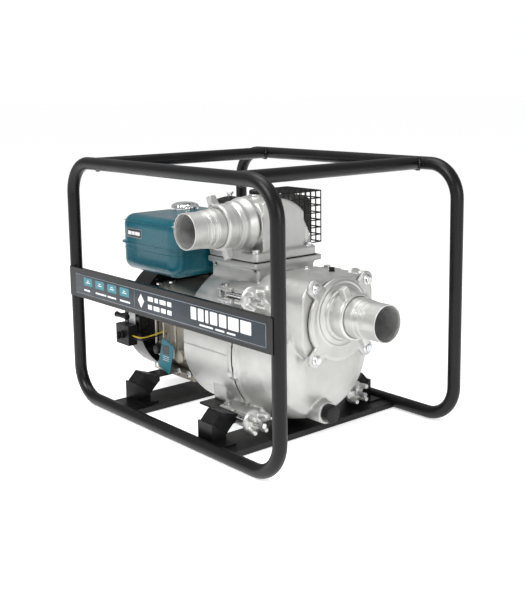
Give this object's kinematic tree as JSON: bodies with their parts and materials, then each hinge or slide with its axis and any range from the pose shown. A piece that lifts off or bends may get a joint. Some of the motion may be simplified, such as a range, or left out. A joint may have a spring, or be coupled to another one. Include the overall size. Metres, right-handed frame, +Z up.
{
  "type": "engine trash pump",
  "caption": "Centrifugal trash pump with a small petrol engine in a tubular carrying frame, hose tails for suction and discharge, and wing-nut clamps on its casing.",
  "frame": {"origin": "on the floor under the middle of the whole machine", "axes": "+X towards the suction port, -Y towards the discharge hose, +Z up"},
  "size_m": [0.709, 0.4885, 0.535],
  "materials": {
    "frame_paint": "satin black enamel on steel",
    "band_paint": "gloss black sheet with a dark blue label",
    "guard_paint": "black enamelled wire",
    "rubber_black": "matt black rubber",
    "pump_casting": "blasted cast aluminium",
    "coupling_casting": "machined and blasted cast aluminium",
    "knob_casting": "as-cast aluminium",
    "zinc_steel": "bright zinc plated",
    "black_plug": "black moulded plastic",
    "cast_iron": "grey cast iron",
    "seal_steel": "bright",
    "flap_rubber": "matt",
    "engine_casting": "warm silver enamel on a die casting",
    "valve_cover_steel": "black enamel on pressed steel",
    "plug_boot": "black rubber",
    "shaft_steel": "ground steel",
    "blower_paint": "gloss black enamel on pressed steel",
    "black_plastic": "fine grained black plastic",
    "rope_nylon": "braided nylon",
    "tank_paint": "gloss teal enamel on pressed steel",
    "cap_chrome": "chrome plated",
    "muffler_steel": "dull aluminised steel",
    "zinc_small": "zinc plated",
    "tag_plastic": "printed card in teal",
    "hose_rubber": "matt black",
    "wire_plastic": "yellow insulation"
  },
  "bodies": {
    "machine": {"frame_loop_left": "frame_paint", "frame_loop_right": "frame_paint", "top_tubes": "frame_paint", "base_channels": "frame_paint", "mount_arms": "frame_paint", "name_panel": "band_paint", "muffler_guard": "guard_paint", "rubber_mounts": "rubber_black", "gaskets": "rubber_black", "rear_casing": "pump_casting", "front_casing": "pump_casting", "elbow": "pump_casting", "suction_cover": "pump_casting", "suction_tail": "coupling_casting", "discharge_tail": "coupling_casting", "clamp_pins": "zinc_steel", "hex_bolts": "zinc_steel", "volute": "cast_iron", "shaft_seal": "seal_steel", "crankcase": "engine_casting", "crankcase_cover": "engine_casting", "cylinder_barrel": "engine_casting", "carburetor": "engine_casting", "valve_cover": "valve_cover_steel", "spark_plug": "plug_boot", "ignition_lead": "plug_boot", "blower_housing": "blower_paint", "recoil_cover": "blower_paint", "air_cleaner": "black_plastic", "control_box": "black_plastic", "starter_rope": "rope_nylon", "fuel_tank": "tank_paint", "muffler": "muffler_steel", "fuel_hose": "hose_rubber", "sensor_wire": "wire_plastic"},
    "rotor": {"crankshaft": "shaft_steel", "flywheel": "cast_iron", "impeller": "cast_iron"},
    "suction_nut": {"suction_nut": "coupling_casting"},
    "discharge_nut": {"discharge_nut": "coupling_casting"},
    "drain_plug": {"drain_plug": "black_plug"},
    "priming_cap": {"priming_cap": "black_plug"},
    "cleaner_nut": {"cleaner_nut": "zinc_small"},
    "fuel_cap": {"fuel_cap": "cap_chrome"},
    "dipstick": {"dipstick": "black_plastic"},
    "throttle_lever": {"throttle_lever": "zinc_small"},
    "choke_lever": {"choke_lever": "zinc_small"},
    "fuel_lever": {"fuel_lever": "zinc_small"},
    "engine_switch": {"engine_switch": "black_plastic"},
    "recoil_handle": {"recoil_handle": "black_plastic"},
    "check_valve": {"check_valve": "flap_rubber"},
    "hang_tag": {"hang_tag": "tag_plastic"},
    "swing_bolt_1": {"swing_bolt_1": "zinc_steel"},
    "wing_knob_1": {"wing_knob_1": "knob_casting"},
    "swing_bolt_2": {"swing_bolt_2": "zinc_steel"},
    "wing_knob_2": {"wing_knob_2": "knob_casting"},
    "swing_bolt_3": {"swing_bolt_3": "zinc_steel"},
    "wing_knob_3": {"wing_knob_3": "knob_casting"},
    "swing_bolt_4": {"swing_bolt_4": "zinc_steel"},
    "wing_knob_4": {"wing_knob_4": "knob_casting"}
  },
  "joints": [
    {"name": "rotor_turn", "type": "hinge", "parent": "machine", "child": "rotor", "pos_m": [0, 0, 0.166], "axis": [1, 0, 0], "continuous": true},
    {"name": "suction_nut_turn", "type": "hinge", "parent": "machine", "child": "suction_nut", "pos_m": [0.267, 0, 0.253], "axis": [1, 0, 0], "continuous": true},
    {"name": "discharge_nut_turn", "type": "hinge", "parent": "machine", "child": "discharge_nut", "pos_m": [0.029, -0.117, 0.407], "axis": [0, -1, 0], "continuous": true},
    {"name": "drain_plug_turn", "type": "hinge", "parent": "machine", "child": "drain_plug", "pos_m": [0.231, -0.022, 0.06], "axis": [1, 0, 0], "continuous": true},
    {"name": "priming_cap_turn", "type": "hinge", "parent": "machine", "child": "priming_cap", "pos_m": [0.019, -0.022, 0.464], "axis": [0, 0, 1], "continuous": true},
    {"name": "cleaner_nut_turn", "type": "hinge", "parent": "machine", "child": "cleaner_nut", "pos_m": [-0.264, 0.134, 0.43], "axis": [0, 0, 1], "continuous": true},
    {"name": "fuel_cap_turn", "type": "hinge", "parent": "machine", "child": "fuel_cap", "pos_m": [-0.195, -0.043, 0.412], "axis": [0, 0, 1], "range_deg": [0, 90]},
    {"name": "dipstick_turn", "type": "hinge", "parent": "machine", "child": "dipstick", "pos_m": [-0.238, -0.09, 0.108], "axis": [0, -1, 0], "continuous": true},
    {"name": "throttle_lever_turn", "type": "hinge", "parent": "machine", "child": "throttle_lever", "pos_m": [-0.236, -0.056, 0.252], "axis": [0, 0, 1], "range_deg": [-25, 40]},
    {"name": "choke_lever_turn", "type": "hinge", "parent": "machine", "child": "choke_lever", "pos_m": [-0.2544, 0.114, 0.312], "axis": [1, 0, 0], "range_deg": [0, 40]},
    {"name": "fuel_lever_turn", "type": "hinge", "parent": "machine", "child": "fuel_lever", "pos_m": [-0.2544, 0.095, 0.308], "axis": [1, 0, 0], "range_deg": [0, 90]},
    {"name": "engine_switch_turn", "type": "hinge", "parent": "machine", "child": "engine_switch", "pos_m": [-0.291, -0.15, 0.14], "axis": [0, -1, 0], "range_deg": [0, 90]},
    {"name": "check_valve_turn", "type": "hinge", "parent": "machine", "child": "check_valve", "pos_m": [0.2296, 0, 0.296], "axis": [0, 1, 0], "range_deg": [0, 40]},
    {"name": "hang_tag_turn", "type": "hinge", "parent": "machine", "child": "hang_tag", "pos_m": [-0.1792, -0.104, 0.145], "axis": [-0.9511, 0, 0.309], "range_deg": [0, 60]},
    {"name": "swing_bolt_1_turn", "type": "hinge", "parent": "machine", "child": "swing_bolt_1", "pos_m": [0.06, -0.136, 0.285], "axis": [0, 0, -1], "range_deg": [0, 50]},
    {"name": "wing_knob_1_turn", "type": "hinge", "parent": "swing_bolt_1", "child": "wing_knob_1", "pos_m": [0.127, -0.136, 0.285], "axis": [1, 0, 0], "continuous": true},
    {"name": "swing_bolt_2_turn", "type": "hinge", "parent": "machine", "child": "swing_bolt_2", "pos_m": [0.06, 0.136, 0.285], "axis": [0, 0, 1], "range_deg": [0, 50]},
    {"name": "wing_knob_2_turn", "type": "hinge", "parent": "swing_bolt_2", "child": "wing_knob_2", "pos_m": [0.127, 0.136, 0.285], "axis": [1, 0, 0], "continuous": true},
    {"name": "swing_bolt_3_turn", "type": "hinge", "parent": "machine", "child": "swing_bolt_3", "pos_m": [0.06, -0.136, 0.047], "axis": [0, 0, -1], "range_deg": [0, 12]},
    {"name": "wing_knob_3_turn", "type": "hinge", "parent": "swing_bolt_3", "child": "wing_knob_3", "pos_m": [0.127, -0.136, 0.047], "axis": [1, 0, 0], "continuous": true},
    {"name": "swing_bolt_4_turn", "type": "hinge", "parent": "machine", "child": "swing_bolt_4", "pos_m": [0.06, 0.136, 0.047], "axis": [0, 0, 1], "range_deg": [0, 12]},
    {"name": "wing_knob_4_turn", "type": "hinge", "parent": "swing_bolt_4", "child": "wing_knob_4", "pos_m": [0.127, 0.136, 0.047], "axis": [1, 0, 0], "continuous": true},
    {"name": "recoil_handle_pull", "type": "slide", "parent": "machine", "child": "recoil_handle", "axis": [0, -1, 0], "range_m": [0, 0.6], "stiffness_N_per_m": 15, "springref_m": -0.4, "deforming": ["starter_rope"]}
  ]
}
